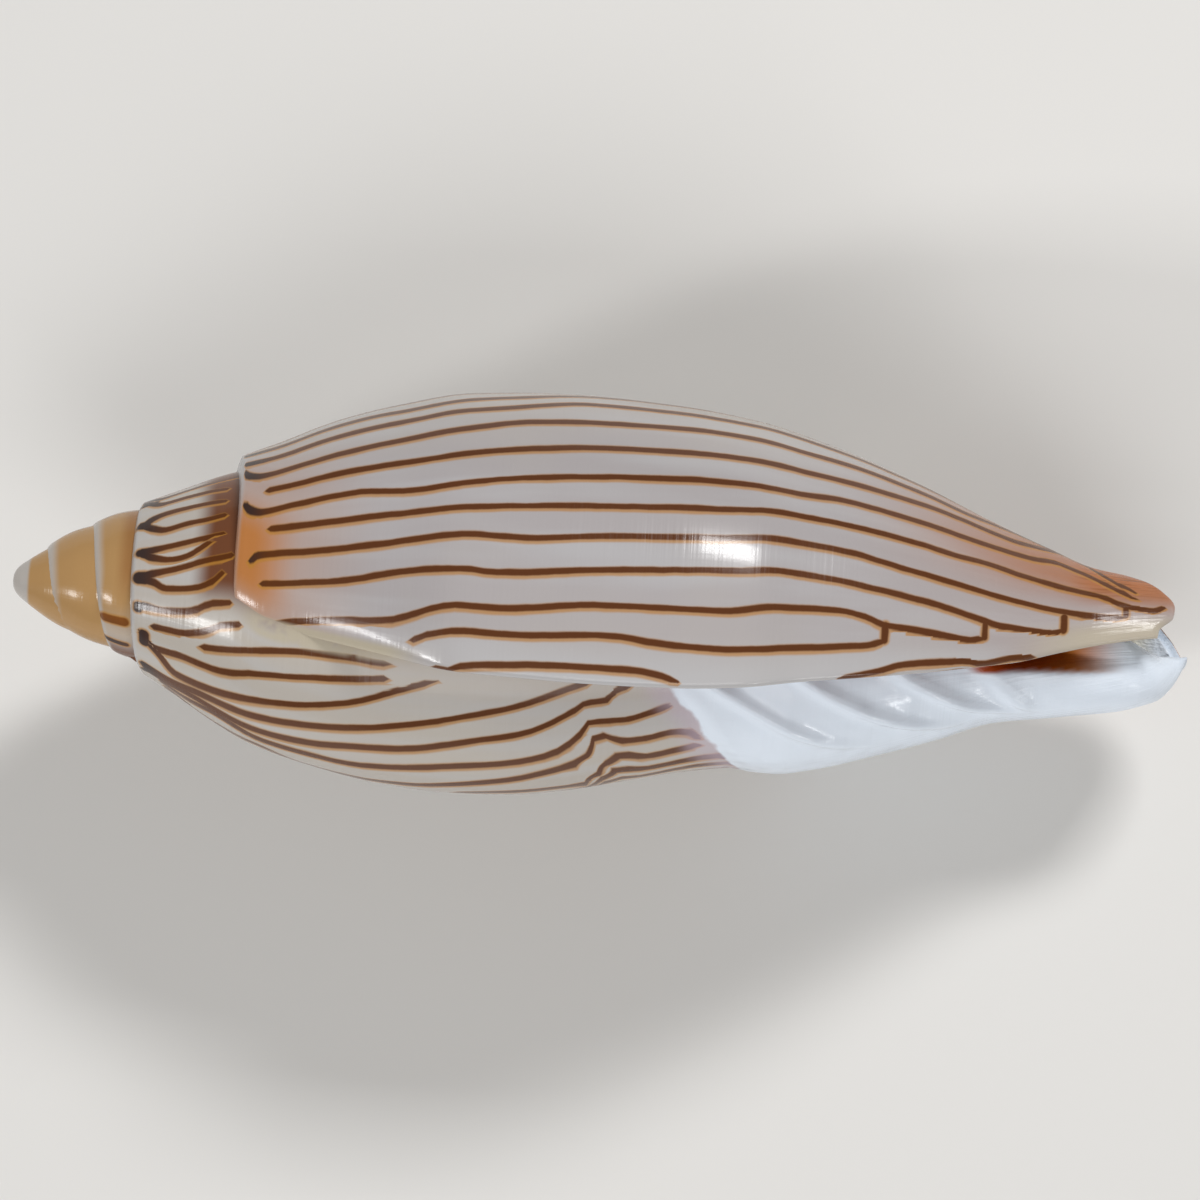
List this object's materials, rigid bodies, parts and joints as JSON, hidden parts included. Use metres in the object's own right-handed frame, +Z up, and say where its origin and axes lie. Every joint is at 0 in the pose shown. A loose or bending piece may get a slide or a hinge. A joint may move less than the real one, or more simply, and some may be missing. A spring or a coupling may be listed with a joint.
{
  "type": "volute shell",
  "caption": "slim glossy spindle-shaped sea shell, coiled to the right, lying on its side on a small flat spot, with a long narrow mouth, a folded pillar and a notched front canal",
  "frame": {"origin": "centre of the bounding box in X and Y, on the resting plane at the bottom", "axes": "+X along the shell towards the front canal, with the tip towards -X, +Z up from the resting plane, the outer lip turned up"},
  "size_m": [0.0578, 0.0198, 0.0213],
  "materials": {
    "porcelain_shell": "glossy porcelain-like shell, cream with fine wavy red-brown lines along its length"
  },
  "bodies": {
    "root": {"shell": "porcelain_shell"}
  },
  "joints": []
}
